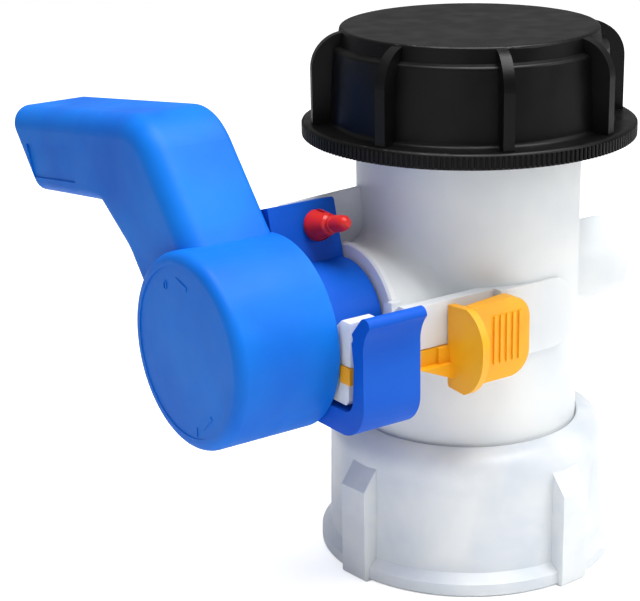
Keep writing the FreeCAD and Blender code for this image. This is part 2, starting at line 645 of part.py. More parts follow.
def make_stem():
    body = on_stem_axis(new_body("stem"))

    def groove(place, half, depth):
        return [
            (f"-{place} - {half}", "stemRadius"),
            (f"-{place} - {half}", f"stemRadius - {depth}"),
            (f"-{place} + {half}", f"stemRadius - {depth}"),
            (f"-{place} + {half}", "stemRadius"),
        ]

    journal = [
        ("-stemDrive", "0"),
        ("-stemDrive", "stemRadius"),
        *groove("clipPlace - clipWidth / 2", "clipWidth / 2", "(stemRadius - clipGrooveRadius)"),
        *groove("oRingOuterPlace", "oRingSection", "2 * oRingSection"),
        *groove("oRingInnerPlace", "oRingSection", "2 * oRingSection"),
        ("stemTail - 1", "stemRadius"),
        ("stemTail", "stemRadius - 1"),
        ("stemTail", "0"),
    ]
    turned(body, "Revolution", [journal], "stem")
    half = "squareSide / 2"
    square = rectangle(f"-{half}", half, f"-{half}", half)
    extruded(body, "Pad", "YZ_Plane", [square], "stemHead - stemDrive", shift="-stemHead")
    thread = ("0", "0", "endScrewRadius + seatFit")
    extruded(body, "Pocket", "YZ_Plane", [thread], "endScrewLength + 1", shift="-stemHead")
    holes = [
        ("discScrewPlace", "0", "discScrewRadius + seatFit"),
        ("-discScrewPlace", "0", "discScrewRadius + seatFit"),
    ]
    extruded(body, "Pocket", "XY_Plane", holes, "2 * stemRadius + 2", shift="-stemRadius - 1")
    return body


def make_disc():
    body = on_stem_axis(new_body("butterfly_disc"))
    plate = [
        ("0", "-discMidHalf"),
        ("discHubRadius", "-discMidHalf"),
        ("discRadius - 0.4", "-discRimHalf"),
        ("discRadius", "-discRimHalf + 0.4"),
        ("discRadius", "discRimHalf - 0.4"),
        ("discRadius - 0.4", "discRimHalf"),
        ("discHubRadius", "discMidHalf"),
        ("0", "discMidHalf"),
    ]
    turned(body, "Revolution", [plate], "pipe")
    tube = [
        ("-discHubHalf", "0"),
        ("-discHubHalf", "discHubRadius - 1.6", "1.6", "right"),
        ("-discHubHalf + 1.6", "discHubRadius"),
        ("discHubHalf - 1.6", "discHubRadius", "1.6", "right"),
        ("discHubHalf", "discHubRadius - 1.6"),
        ("discHubHalf", "0"),
    ]
    turned(body, "Revolution", [tube], "stem")
    edge = "discRadius - 8.5"
    rib = [
        (f"-({edge})", "-discRimHalf + 0.3"),
        ("-discHubRadius + 3", "-discHubRadius + 1.5"),
        ("discHubRadius - 3", "-discHubRadius + 1.5"),
        (edge, "-discRimHalf + 0.3"),
        (edge, "discRimHalf - 0.3"),
        ("discHubRadius - 3", "discHubRadius - 1.5"),
        ("-discHubRadius + 3", "discHubRadius - 1.5"),
        (f"-({edge})", "discRimHalf - 0.3"),
    ]
    for side in ("-discRibPlace", "discRibPlace"):
        extruded(body, "Pad", "YZ_Plane", [rib], "discRibThick", shift=f"{side} - discRibThick / 2")
    key = "sealKeyHalf + seatFit"
    trim = [
        ("discRadius + 6", "-discHubRadius - 1"),
        ("discRadius", "-discHubRadius - 1"),
        ("discRadius", f"-({key})"),
        ("discRadius - sealGroove - seatFit", f"-({key})"),
        ("discRadius - sealGroove - seatFit", key),
        ("discRadius", key),
        ("discRadius", "discHubRadius + 1"),
        ("discRadius + 6", "discHubRadius + 1"),
    ]
    turned(body, "Groove", [trim], "pipe")
    eyelet = "eyeletRadius + seatFit"
    way = [
        ("-discHubHalf - 4", "0"),
        ("-discHubHalf - 4", eyelet),
        ("-discHubHalf", eyelet),
        ("-discHubHalf", "stemRadius + seatFit"),
        ("discHubHalf", "stemRadius + seatFit"),
        ("discHubHalf", eyelet),
        ("discHubHalf + 4", eyelet),
        ("discHubHalf + 4", "0"),
    ]
    turned(body, "Groove", [way], "stem")
    for side in ("-discScrewPlace", "discScrewPlace"):
        hole = (side, "0", "discScrewRadius + seatFit")
        extruded(body, "Pocket", "XY_Plane", [hole], "discHubRadius + 1", shift="0")
        seat = (side, "0", "discScrewHead + airGap")
        extruded(body, "Pocket", "XY_Plane", [seat], "discHubRadius", shift="discScrewSeat")
    return body


def make_disc_seal():
    body = on_stem_axis(new_body("disc_edge_seal"))
    ring = [
        ("discRadius + seatFit", "-discRimHalf + 0.2"),
        ("sealRadius - 0.35", "-discRimHalf + 0.2", "5", "left"),
        ("sealRadius - 0.35", "discRimHalf - 0.2"),
        ("discRadius + seatFit", "discRimHalf - 0.2"),
        ("discRadius + seatFit", "sealKeyHalf"),
        ("discRadius - sealGroove", "sealKeyHalf"),
        ("discRadius - sealGroove", "-sealKeyHalf"),
        ("discRadius + seatFit", "-sealKeyHalf"),
    ]
    turned(body, "Revolution", [ring], "pipe")
    low, high = "discHubHalf + 0.1", "eyeletEnd"
    for left, right in ((low, high), (f"-{high}", f"-({low})")):
        turned(body, "Revolution", [rectangle(left, right, "0", "eyeletRadius")], "stem")
    way = rectangle("-sealRadius - 1", "sealRadius + 1", "0", "stemRadius + seatFit")
    turned(body, "Groove", [way], "stem")
    return body


def make_disc_screws():
    body = on_stem_axis(new_body("disc_screws"))
    body.AllowCompound = True
    for side in ("-discScrewPlace", "discScrewPlace"):
        shank = (side, "0", "discScrewRadius")
        extruded(body, "Pad", "XY_Plane", [shank], "discScrewReach + discScrewSeat + 0.5", shift="-discScrewReach")
        head = (side, "0", "discScrewHead")
        extruded(body, "Pad", "XY_Plane", [head], "discScrewHeadHigh", shift="discScrewSeat + seatFit")
    return body


def make_ring_on_stem(label, left, right, inner, outer):
    """A plain ring round the stem, from left to right along it."""
    body = on_stem_axis(new_body(label))
    turned(body, "Revolution", [rectangle(left, right, inner, outer)], "stem")
    return body


def make_stem_bushes():
    inner = "stemRadius + runFit"
    outer = make_ring_on_stem(
        "stem_bush_outer", "-bossEnd", "-bossEnd + bushLength", inner, f"{inner} + bushWall",
    )
    tail = make_ring_on_stem(
        "stem_bush_tail", "tailBushStart", "tailBoreEnd - 0.2", inner, f"{inner} + tailBushWall",
    )
    return [outer, tail]


def make_clip():
    body = on_stem_axis(new_body("stem_retaining_clip"))
    left = "-clipPlace + 0.05 - clipWidth + 0.0"
    section = rectangle(left, "-clipPlace - 0.05", "clipGrooveRadius + 0.1", "clipRadius")
    turned(body, "Revolution", [section], "stem", angle="310")
    return body


def make_o_rings():
    rings = []
    for name, place in (("Outer", "oRingOuterPlace"), ("Inner", "oRingInnerPlace")):
        ring = doc.addObject("Part::Torus", f"StemORing{name}")
        ring.Placement.Rotation = FreeCAD.Rotation(FreeCAD.Vector(0, 1, 0), 90)
        ring.setExpression("Radius1", bound("stemRadius - oRingSection - 0.01"))
        ring.setExpression("Radius2", bound("oRingSection - 0.02"))
        ring.setExpression("Placement.Base.x", bound(f"-{place}"))
        ring.setExpression("Placement.Base.z", bound("stemHeight"))
        rings.append(ring)
    pair = doc.addObject("Part::MultiFuse", "stem_o_rings")
    pair.Shapes = rings
    pair.Label = "stem_o_rings"
    return pair


def make_drive_collar():
    body = on_stem_axis(new_body("drive_collar"))
    front = "hubRear + flangeThick"
    barrel = [
        (f"-({front})", "0"),
        (f"-({front})", "flangeRadius"),
        ("-hubRear", "flangeRadius"),
        ("-hubRear", "collarRadius"),
        ("-collarEnd - 0.5", "collarRadius"),
        ("-collarEnd", "collarRadius - 0.5"),
        ("-collarEnd", "0"),
    ]
    turned(body, "Revolution", [barrel], "stem")
    plate = [
        ("-hubRear", "collarRadius - 5"),
        ("-collarEnd", "collarRadius - 5"),
        ("-collarEnd", "plateRadius - 0.8", "0.8", "left"),
        ("-collarEnd - 0.8", "plateRadius"),
        ("-hubRear", "plateRadius"),
    ]
    extruded(body, "Pad", "XZ_Plane", [plate], "plateThick", shift="-plateThick / 2", lean="plateLean")
    inside = "hookOuter - hookThick"
    floor = "hookFoot - hookFootThick"
    hook = [
        ("0", "-collarRadius + 2"),
        ("0", "-collarRadius + 0.05"),
        ("-5", "-hookFoot + 2.2", "12", "left"),
        ("-13", "-hookFoot"),
        ("-hookOuter + hookCorner", "-hookFoot", "hookCorner", "right"),
        ("-hookOuter", "-hookFoot + hookCorner"),
        ("-hookOuter", "2", "10", "left"),
        ("-hookOuter - hookCurl", "hookLipTop - 1.9", "1.9", "right"),
        ("-hookOuter - hookCurl + 3.2", "hookLipTop - 0.5"),
        (f"-({inside}) + 0.1", "6.4", "1.6", "left"),
        (f"-({inside}) + 0.2", "4.2"),
        (f"-({inside}) - 0.6", "-1.8"),
        (f"-({inside}) - 0.1", f"-({floor}) + 3.6", "3.6", "left"),
        (f"-({inside}) + 3.5", f"-({floor})"),
        ("-3", f"-({floor})"),
    ]
    extruded(body, "Pad", "YZ_Plane", [hook], "hubRear - hookEnd", shift="-hubRear")
    recess = rectangle("-collarEnd - cupDepth", "-collarEnd + 1", "0", "cupRadius")
    turned(body, "Groove", [recess], "stem")
    half = "(squareSide / 2 + seatFit)"
    square = rectangle(f"-{half}", half, f"-{half}", half)
    extruded(body, "Pocket", "YZ_Plane", [square], f"{front} - collarEnd + 1", shift=f"-({front}) - 1")
    hole = ("-pinPlace", "pinReach", "pinHole")
    extruded(
        body, "Pocket", "XZ_Plane", [hole], "plateThick + 2", shift="-plateThick / 2 - 1", lean="plateLean",
    )
    for turn in ("hubScrewTurn", "hubScrewTurn + 120", "hubScrewTurn + 240"):
        y, z = f"hubScrewReach * cos({turn})", f"hubScrewReach * sin({turn})"
        through = (y, z, "hubScrewRadius + 0.1")
        extruded(body, "Pocket", "YZ_Plane", [through], "flangeThick + 2", shift=f"-({front}) - 1")
        seat = (y, z, "hubScrewHead + 0.15")
        extruded(body, "Pocket", "YZ_Plane", [seat], "hubScrewHeadHigh + 1.2", shift="-hubRear - hubScrewHeadHigh - 0.2")
    return body


def grip_point(along, down):
    """A point of the grip: along its top from the elbow, and down from its top."""
    elbow_y = "(elbowReach * sin(armLean) - armLeft * cos(armLean))"
    elbow_z = "(elbowReach * cos(armLean) + armLeft * sin(armLean))"
    return (
        f"{elbow_y} + ({along}) * cos(gripDroop) - ({down}) * sin(gripDroop)",
        f"{elbow_z} - ({along}) * sin(gripDroop) - ({down}) * cos(gripDroop)",
    )


def arm_point(out, inward):
    """A point of the arm: out from the stem axis along the arm, and inward from its centre line."""
    return (
        f"({out}) * sin(armLean) + ({inward}) * cos(armLean)",
        f"({out}) * cos(armLean) - ({inward}) * sin(armLean)",
    )


def make_handle_lever():
    body = on_stem_axis(new_body("handle_lever"))
    outline = [
        arm_point("0", "-armLeft"),
        arm_point("0", "armRight"),
        arm_point("throatReach", "armRight"),
        grip_point("gripHeel", "gripDepth"),
        grip_point("gripTipBack", "gripDepth - 0.4"),
        grip_point("gripLength", "0"),
        grip_point("0", "0"),
    ]
    arm = extruded(body, "Pad", "YZ_Plane", [outline], "leverThick", shift="-leverFront")

    def corner(point):
        y, z = value(point[0]), value(point[1])
        return lambda edge: abs(edge.CenterOfMass.y - y) < 0.05 and abs(edge.CenterOfMass.z - z) < 0.05

    for place, radius in ((6, "elbowRound"), (4, "tipRound"), (3, "heelRound"), (2, "heelRound * 4")):
        arm = rounded(body, arm, radius, corner(outline[place]))
    front, back = -value("leverFront"), value("leverThick") - value("leverFront")
    elbow_y, elbow_z = (value(formula) for formula in outline[6])

    def on_face(edge, place):
        return all_at(edge, "x", place) and edge.BoundBox.ZMax > 12

    def on_outside(edge):
        middle = edge.CenterOfMass
        down = (elbow_y - middle.y) * value("sin(gripDroop)") + (elbow_z - middle.z) * value("cos(gripDroop)")
        inward = middle.y * value("cos(armLean)") - middle.z * value("sin(armLean)")
        return down < 6 or inward < 6 - value("armLeft")

    arm = rounded(body, arm, "leverEdge", lambda edge: on_face(edge, front) and on_outside(edge))
    arm = rounded(body, arm, "leverInnerEdge", lambda edge: on_face(edge, front))
    arm = rounded(body, arm, "leverBackEdge", lambda edge: on_face(edge, back))
    panel = [
        grip_point("panelInner", "panelTop"),
        grip_point("panelInner", "panelFoot"),
        grip_point("panelOuter - 2.3", "panelFoot"),
        grip_point("panelOuter", "panelTop"),
    ]
    extruded(body, "Pocket", "YZ_Plane", [panel], "panelDepth + 1", shift="-leverFront - 1")
    # cored back: cells in the arm, the elbow and the grip, with ribs left between them
    left, right = "-armLeft + leverWall", "armRight - leverWall"
    first = "hubRadius + 2.6"
    second = "hubRadius + 12"
    deep = "gripDepth - leverWall"
    cells = [
        [arm_point(first, left), arm_point(first, right), arm_point(f"{second} - coreRib", right),
         arm_point(f"{second} - coreRib", left)],
        [arm_point(second, left), arm_point(second, right), arm_point(f"{second} + 8.5", right),
         arm_point(f"{second} + 8.5", left)],
        [grip_point("6.5", "leverWall"), grip_point("12.5", deep), grip_point("gripHeel - coreRib", deep),
         grip_point("gripHeel - coreRib", "leverWall")],
    ]
    step = "(gripTipBack - gripHeel - leverWall) / 3"
    for number in range(3):
        start = f"gripHeel + {number} * {step}"
        end = f"{start} + {step} - coreRib"
        top_end = f"{end} + 9.5" if number == 2 else end
        cells.append([grip_point(start, "leverWall"), grip_point(start, deep), grip_point(end, deep),
                      grip_point(top_end, "leverWall")])
    extruded(body, "Pocket", "YZ_Plane", cells, "coreDepth + 1", shift="leverThick - leverFront - coreDepth")
    hub = [
        ("-hubFace", "0"),
        ("-hubFace", "hubRadius - hubRound", "hubRound", "right"),
        ("-hubFace + hubRound", "hubRadius"),
        ("-hubRear - 0.4", "hubRadius"),
        ("-hubRear", "hubRadius - 0.4"),
        ("-hubRear", "0"),
    ]
    turned(body, "Revolution", [hub], "stem")
    dish = rectangle("-hubFace - 1", "-hubFace + hubDish", "0", "hubRadius - hubRound - 0.6")
    turned(body, "Groove", [dish], "stem")
    inside = "hubRadius - hubWall"
    cavity = [
        ("-hubFace + hubWall", "0"),
        ("-hubFace + hubWall", f"{inside} - 2", "2", "right"),
        ("-hubFace + hubWall + 2", inside),
        ("-hubRear - flangeThick - 0.05", inside),
        ("-hubRear - flangeThick - 0.05", "flangeRadius + seatFit"),
        ("-hubRear + 1", "flangeRadius + seatFit"),
        ("-hubRear + 1", "0"),
    ]
    turned(body, "Groove", [cavity], "stem")
    post_length = "hubFace - hubWall - hubRear - flangeThick - 0.05"
    for turn in ("hubScrewTurn", "hubScrewTurn + 120", "hubScrewTurn + 240"):
        y, z = f"hubScrewReach * cos({turn})", f"hubScrewReach * sin({turn})"
        extruded(body, "Pad", "YZ_Plane", [(y, z, "hubPostRadius")], f"{post_length} + 0.5",
                 shift="-hubFace + hubWall - 0.5")
        extruded(body, "Pocket", "YZ_Plane", [(y, z, "hubScrewRadius + seatFit")], "hubScrewLength",
                 shift="-hubRear - flangeThick - hubScrewLength + 2")
    return body


def make_hub_screws():
    body = on_stem_axis(new_body("hub_screws"))
    body.AllowCompound = True
    seat = "-hubRear - hubScrewHeadHigh - 0.15"
    for turn in ("hubScrewTurn", "hubScrewTurn + 120", "hubScrewTurn + 240"):
        y, z = f"hubScrewReach * cos({turn})", f"hubScrewReach * sin({turn})"
        extruded(body, "Pad", "YZ_Plane", [(y, z, "hubScrewHead")], "hubScrewHeadHigh", shift=seat)
        extruded(body, "Pad", "YZ_Plane", [(y, z, "hubScrewRadius")], "hubScrewLength",
                 shift=f"{seat} - hubScrewLength + 0.5")
    return body


def make_end_screw():
    body = on_stem_axis(new_body("stem_end_screw"))
    seat = "-hubRear - flangeThick - endWasherThick - 0.1"
    extruded(body, "Pad", "YZ_Plane", [("0", "0", "endScrewHead")], "endScrewHeadHigh",
             shift=f"{seat} - endScrewHeadHigh")
    extruded(body, "Pad", "YZ_Plane", [("0", "0", "endScrewRadius")], "endScrewLength + 0.5", shift=f"{seat} - 0.5")
    half = "endScrewHead * 0.42"
    socket = [(f"{half} * cos({60 * k})", f"{half} * sin({60 * k})") for k in range(6)]
    extruded(body, "Pocket", "YZ_Plane", [socket], "endScrewHeadHigh * 0.6", shift=f"{seat} - endScrewHeadHigh")
    return body


def make_security_pin():
    body = new_body("security_pin")
    body.Placement.Rotation = FreeCAD.Rotation(FreeCAD.Vector(1, 0, 0), 1)
    body.setExpression("Placement.Rotation.Angle", bound("90 - plateLean"))
    body.setExpression("Placement.Base.x", bound("-pinPlace"))
    body.setExpression("Placement.Base.y", bound("pinReach * sin(plateLean) - plateThick / 2 * cos(plateLean)"))
    body.setExpression(
        "Placement.Base.z",
        bound("stemHeight + pinReach * cos(plateLean) + plateThick / 2 * sin(plateLean)"),
    )
    barb_end = "pinLength * 0.45"
    profile = [
        ("0", "-plateThick"),
        ("pinTail - 0.3", "-plateThick"),
        ("pinTail", "-plateThick + 0.3"),
        ("pinTail", "airGap"),
        ("pinBarb - 0.3", "airGap"),
        ("pinBarb", "airGap + 0.3"),
        ("pinBarb", "airGap + 1.1"),
        ("pinNose + 0.4", barb_end),
        ("pinNose - 0.2", f"{barb_end} + 0.6"),
        ("pinNose - 0.2", f"{barb_end} + 1.2"),
        ("pinNose", f"{barb_end} + 1.3"),
        ("pinNose", f"{barb_end} + 1.9"),
        ("pinNose - 0.25", f"{barb_end} + 2.0"),
        ("pinNose - 0.25", f"{barb_end} + 2.6"),
        ("pinNose", f"{barb_end} + 2.8"),
        ("pinNose - 0.1", "pinLength - 2.6", "3.4", "left"),
        ("pinNose * 0.4", "pinLength"),
        ("0", "pinLength"),
    ]
    turned(body, "Revolution", [profile], "pipe")
    slit = rectangle("-pinSlit / 2", "pinSlit / 2", "airGap", f"{barb_end} - 1.6")
    extruded(body, "Pocket", "XZ_Plane", [slit], "2 * pinBarb + 2", shift="-pinBarb - 1")
    return body


def make_lock_latch():
    body = on_stem_axis(new_body("lock_latch"))
    top = "-slotTop - airGap"
    low = "-slotTop - slotHeight + airGap"
    tongue = [
        ("-tongueFront", low),
        ("-slotBack - airGap", low),
        ("-slotBack - airGap", top),
        ("-tongueFront", top),
    ]
    extruded(body, "Pad", "YZ_Plane", [tongue], "tongueEnd - wingPlace + 0.4", shift="-tongueEnd")
    key = rectangle(
        "-slotBack - keyDepth + airGap", "-slotBack - airGap",
        f"{low} - keyHeight", f"{top} + keyHeight",
    )
    extruded(body, "Pad", "YZ_Plane", [key], "keyStart - airGap - wingPlace", shift="-keyStart + airGap")
    web = rectangle("-wingInner - 0.4", "-tongueFront + 0.6", low, top)
    extruded(body, "Pad", "YZ_Plane", [web], "wingThick + 3", shift="-wingPlace - 3")
    wing = [
        ("-wingInner", "wingTop - 0.5"),
        ("-wingOuter + 6", "wingTop", "9.5", "left"),
        ("-wingOuter", "-slotTop", "11.5", "left"),
        ("-wingOuter + 6.8", "-wingFoot"),
        ("-wingInner - 0.4", "-wingFoot + 0.4"),
        ("-wingInner", "-wingFoot + 1.2"),
    ]
    extruded(body, "Pad", "YZ_Plane", [wing], "wingThick", shift="-wingPlace")
    paddle = [
        ("-wingPlace", "-paddleFoot"),
        ("-paddleEnd - paddleCorner", "-paddleFoot", "paddleCorner", "left"),
        ("-paddleEnd", "-paddleFoot + paddleCorner"),
        ("-paddleEnd", "paddleTop - paddleCorner", "paddleCorner", "left"),
        ("-paddleEnd - paddleCorner", "paddleTop"),
        ("-wingPlace + 2", "wingTop"),
        ("-wingPlace", "wingTop - 2"),
    ]
    extruded(body, "Pad", "XZ_Plane", [paddle], "paddleThick", shift="paddleBack")
    gusset = [
        ("-wingPlace - 9", low),
        ("-wingPlace + 1", "-wingFoot + 2.5"),
        ("-wingPlace + 1", low),
    ]
    extruded(body, "Pad", "XZ_Plane", [gusset], "2.6", shift="tongueFront - 0.4")
    for number in range(int(value("paddleRibs"))):
        middle = f"-paddleEnd - 3.2 - {number} * paddleRibStep"
        rib = rectangle(
            f"{middle} - paddleRibWidth / 2", f"{middle} + paddleRibWidth / 2",
            "-paddleFoot + 4.2", "paddleTop - 3.6",
        )
        extruded(body, "Pad", "XZ_Plane", [rib], "paddleRibHigh + 0.2", shift="paddleBack + paddleThick - 0.2")
    return body


def check_and_write(parts):
    """Stops on any failed object or bad shape, and otherwise writes one STEP file for each sub-part."""
    failed = [item.Name for item in doc.Objects if {"Invalid", "Error"} & set(item.State)]
    if failed:
        raise RuntimeError(f"failed to compute: {failed}")
    for part in parts:
        shape = part.Shape
        if shape.isNull() or not shape.isValid() or not shape.Solids:
            raise RuntimeError(f"{part.Label} has no sound solid")
    os.makedirs("parts", exist_ok=True)
    for part in parts:
        part.Shape.exportStep(f"parts/{part.Label}.step")
        print(f"{part.Label}: {len(part.Shape.Solids)} solid(s), {part.Shape.Volume / 1000:.2f} cm3")


parts = [
    make_valve_body(),
    make_outlet_cap(),
    make_cap_gasket(),
    make_union_nut(),
    make_nut_ring(),
    make_inlet_gasket(),
    make_stem(),
    make_disc(),
    make_disc_seal(),
    make_disc_screws(),
    *make_stem_bushes(),
    make_ring_on_stem(
        "thrust_washer", "-bossEnd - airGap - washerThick", "-bossEnd - airGap", "stemRadius + 0.1", "washerRadius",
    ),
    make_clip(),
    make_o_rings(),
    make_drive_collar(),
    make_handle_lever(),
    make_hub_screws(),
    make_ring_on_stem(
        "stem_end_washer", "-hubRear - flangeThick - 0.05 - endWasherThick", "-hubRear - flangeThick - 0.05",
        "endScrewRadius + 0.2", "endWasherRadius",
    ),
    make_end_screw(),
    make_security_pin(),
    make_lock_latch(),
]
doc.recompute()
check_and_write(parts)
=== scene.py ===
import math

import bmesh
import bpy
from mathutils import Matrix, Vector


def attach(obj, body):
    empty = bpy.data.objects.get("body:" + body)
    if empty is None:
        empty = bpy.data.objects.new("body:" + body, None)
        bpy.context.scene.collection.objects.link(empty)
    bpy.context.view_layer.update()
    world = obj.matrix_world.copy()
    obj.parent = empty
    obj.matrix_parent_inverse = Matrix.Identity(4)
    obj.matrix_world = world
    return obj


# Outlet valve of a bulk container: white body and union nut, black cap, blue lever, yellow latch, red pin.
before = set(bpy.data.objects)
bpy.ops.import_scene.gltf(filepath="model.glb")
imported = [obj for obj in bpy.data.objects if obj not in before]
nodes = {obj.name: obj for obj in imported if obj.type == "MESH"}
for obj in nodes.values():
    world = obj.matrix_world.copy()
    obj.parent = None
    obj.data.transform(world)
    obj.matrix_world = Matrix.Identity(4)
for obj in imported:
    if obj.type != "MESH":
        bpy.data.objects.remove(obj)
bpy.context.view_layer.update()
mm = 0.001
weldDistance = 1e-6
noiseSpan = (0.3, 0.7)  # where most of a noise's values lie
print("frame loaded:", len(nodes), "nodes")


def linear(hexColour):  # an sRGB hex colour as the linear values a socket takes
    parts = [int(hexColour[place:place + 2], 16) / 255 for place in (1, 3, 5)]
    return [part / 12.92 if part <= 0.04045 else ((part + 0.055) / 1.055) ** 2.4 for part in parts] + [1.0]


def addNode(tree, kind, settings=None, links=None):  # a setting fills a socket, or else an option of the node
    node = tree.nodes.new(kind)
    for name, setting in (settings or {}).items():
        if isinstance(name, int) or name in node.inputs:
            node.inputs[name].default_value = setting
        else:
            setattr(node, name, setting)
    for name, source in (links or {}).items():
        tree.links.new(source, node.inputs[name])
    return node


def newMaterial(name):
    material = bpy.data.materials.new(name)
    material.use_nodes = True
    material.node_tree.nodes.clear()
    return material, material.node_tree


def finishMaterial(tree, shader):
    addNode(tree, "ShaderNodeOutputMaterial", links={"Surface": shader.outputs[0]})


def keepMesh(thing):  # freezes the modifiers into the mesh and turns the faces outwards
    graph = bpy.context.evaluated_depsgraph_get()
    mesh = bpy.data.meshes.new_from_object(thing.evaluated_get(graph))
    thing.modifiers.clear()
    thing.data = mesh
    work = bmesh.new()
    work.from_mesh(mesh)
    bmesh.ops.remove_doubles(work, verts=work.verts, dist=weldDistance)
    bmesh.ops.recalc_face_normals(work, faces=work.faces)
    work.to_mesh(mesh)
    work.free()
    return thing


def addPiece(name, mesh, material, body):  # an added piece, riding on a body of the record
    thing = bpy.data.objects.new(name, mesh)
    bpy.context.collection.objects.link(thing)
    mesh.materials.clear()
    mesh.materials.append(material)
    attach(thing, body)
    return thing


def glossFrom(tree, noise, roughness):  # spreads the middle of a noise over a range of roughness
    spread = {"From Min": noiseSpan[0], "From Max": noiseSpan[1],
              "To Min": roughness[0], "To Max": roughness[1]}
    return addNode(tree, "ShaderNodeMapRange", spread, {"Value": noise.outputs["Fac"]})


def mouldedPlastic(look):  # injection-moulded plastic: slow flow shading, fine tool grain, uneven gloss
    material, tree = newMaterial(look["name"])
    place = addNode(tree, "ShaderNodeTexCoord").outputs["Object"]
    flow = addNode(tree, "ShaderNodeTexNoise", {"Scale": 1 / (look["flowSize"] * mm), "Detail": 3.0,
                   "Roughness": 0.45, "Distortion": 0.4}, {"Vector": place})
    shade = addNode(tree, "ShaderNodeValToRGB", links={"Fac": flow.outputs["Fac"]})
    shade.color_ramp.elements[0].position = noiseSpan[0]
    shade.color_ramp.elements[0].color = linear(look["dark"])
    shade.color_ramp.elements[1].position = noiseSpan[1]
    shade.color_ramp.elements[1].color = linear(look["light"])
    grain = addNode(tree, "ShaderNodeTexNoise",
                    {"Scale": 1 / (look["grainSize"] * mm), "Detail": 2.0}, {"Vector": place})
    wave = addNode(tree, "ShaderNodeTexNoise",
                   {"Scale": 1 / (look["waveSize"] * mm), "Detail": 1.0}, {"Vector": place})
    gloss = glossFrom(tree, wave, look["roughness"])
    slow = addNode(tree, "ShaderNodeBump", {"Strength": 1.0, "Distance": look["waveDepth"] * mm},
                   {"Height": wave.outputs["Fac"]})
    fine = addNode(tree, "ShaderNodeBump", {"Strength": 1.0, "Distance": look["grainDepth"] * mm},
                   {"Height": grain.outputs["Fac"], "Normal": slow.outputs["Normal"]})
    settings = {"IOR": look["ior"], "Specular IOR Level": look.get("specular", 0.5)}
    if "glow" in look:
        settings.update({"Subsurface Weight": look["glow"], "Subsurface Radius": look["glowRadius"],
                         "Subsurface Scale": mm})
    shader = addNode(tree, "ShaderNodeBsdfPrincipled", settings,
                     {"Base Color": shade.outputs["Color"], "Roughness": gloss.outputs["Result"],
                      "Normal": fine.outputs["Normal"]})
    finishMaterial(tree, shader)
    return material


def turnedSteel(look):  # stainless steel: fine turning marks that catch the light unevenly
    material, tree = newMaterial(look["name"])
    place = addNode(tree, "ShaderNodeTexCoord").outputs["Object"]
    marks = addNode(tree, "ShaderNodeTexNoise",
                    {"Scale": 1 / (look["markSize"] * mm), "Detail": 4.0}, {"Vector": place})
    gloss = glossFrom(tree, marks, look["roughness"])
    fine = addNode(tree, "ShaderNodeBump",
                   {"Distance": look["markDepth"] * mm}, {"Height": marks.outputs["Fac"]})
    shader = addNode(tree, "ShaderNodeBsdfPrincipled",
                     {"Base Color": linear(look["colour"]), "Metallic": 1.0},
                     {"Roughness": gloss.outputs["Result"], "Normal": fine.outputs["Normal"]})
    finishMaterial(tree, shader)
    return material


bluePolypropylene = {"name": "bluePolypropylene", "dark": "#0a61cb", "light": "#1074da", "flowSize": 26,
                     "grainSize": 0.5, "grainDepth": 0.01, "waveSize": 6, "waveDepth": 0.015,
                     "roughness": (0.4, 0.5), "ior": 1.49, "specular": 0.14}
# the collar, plate and hook are the same blue moulding as the lever; this darker copy of its blue is painted
# shade, for the less light those parts get
paintedShadeBluePolypropylene = {**bluePolypropylene, "name": "paintedShadeBluePolypropylene",
                         "dark": "#0a50bf", "light": "#0e5ccc"}
naturalHdpe = {"name": "naturalHdpe", "dark": "#dae0e5", "light": "#eaecec", "flowSize": 24,
               "grainSize": 0.8, "grainDepth": 0.008, "waveSize": 8, "waveDepth": 0.02,
               "roughness": (0.34, 0.44), "ior": 1.54, "glow": 0.35, "glowRadius": (3.2, 3.0, 3.4)}
nutHdpe = {**naturalHdpe, "name": "nutHdpe", "dark": "#cfd6de", "light": "#e6e9ea", "flowSize": 16}
blackPolypropylene = {"name": "blackPolypropylene", "dark": "#050506", "light": "#0a0a0b", "flowSize": 20,
                      "grainSize": 0.35, "grainDepth": 0.012, "waveSize": 6, "waveDepth": 0.03,
                      "roughness": (0.32, 0.44), "ior": 1.49, "specular": 0.2}
yellowPolypropylene = {"name": "yellowPolypropylene", "dark": "#f2a40c", "light": "#f8b51a", "flowSize": 12,
                       "grainSize": 0.5, "grainDepth": 0.012, "waveSize": 4, "waveDepth": 0.03,
                       "roughness": (0.38, 0.5), "ior": 1.49}
redPolyethylene = {"name": "redPolyethylene", "dark": "#cf1714", "light": "#e0231c", "flowSize": 8,
                   "grainSize": 0.4, "grainDepth": 0.01, "waveSize": 3, "waveDepth": 0.03,
                   "roughness": (0.32, 0.42), "ior": 1.51}
whiteAcetal = {"name": "whiteAcetal", "dark": "#d6d6d2", "light": "#e2e2de", "flowSize": 10,
               "grainSize": 0.3, "grainDepth": 0.006, "waveSize": 4, "waveDepth": 0.02,
               "roughness": (0.3, 0.4), "ior": 1.48}
glassFilledPolypropylene = {"name": "glassFilledPolypropylene", "dark": "#cfd0ce", "light": "#dddedb",
                            "flowSize": 9, "grainSize": 0.25, "grainDepth": 0.015,
                            "waveSize": 3, "waveDepth": 0.03, "roughness": (0.45, 0.58), "ior": 1.5}
greyGasketRubber = {"name": "greyGasketRubber", "dark": "#4c4e50", "light": "#5a5c5e", "flowSize": 8,
                    "grainSize": 0.3, "grainDepth": 0.02, "waveSize": 3, "waveDepth": 0.02,
                    "roughness": (0.6, 0.75), "ior": 1.52}
blackEpdm = {**greyGasketRubber, "name": "blackEpdm", "dark": "#121212", "light": "#1a1a1a"}
stainlessSteel = {"name": "stainlessSteel", "colour": "#b9b8b5", "markSize": 0.4, "markDepth": 0.004,
                  "roughness": (0.24, 0.4)}

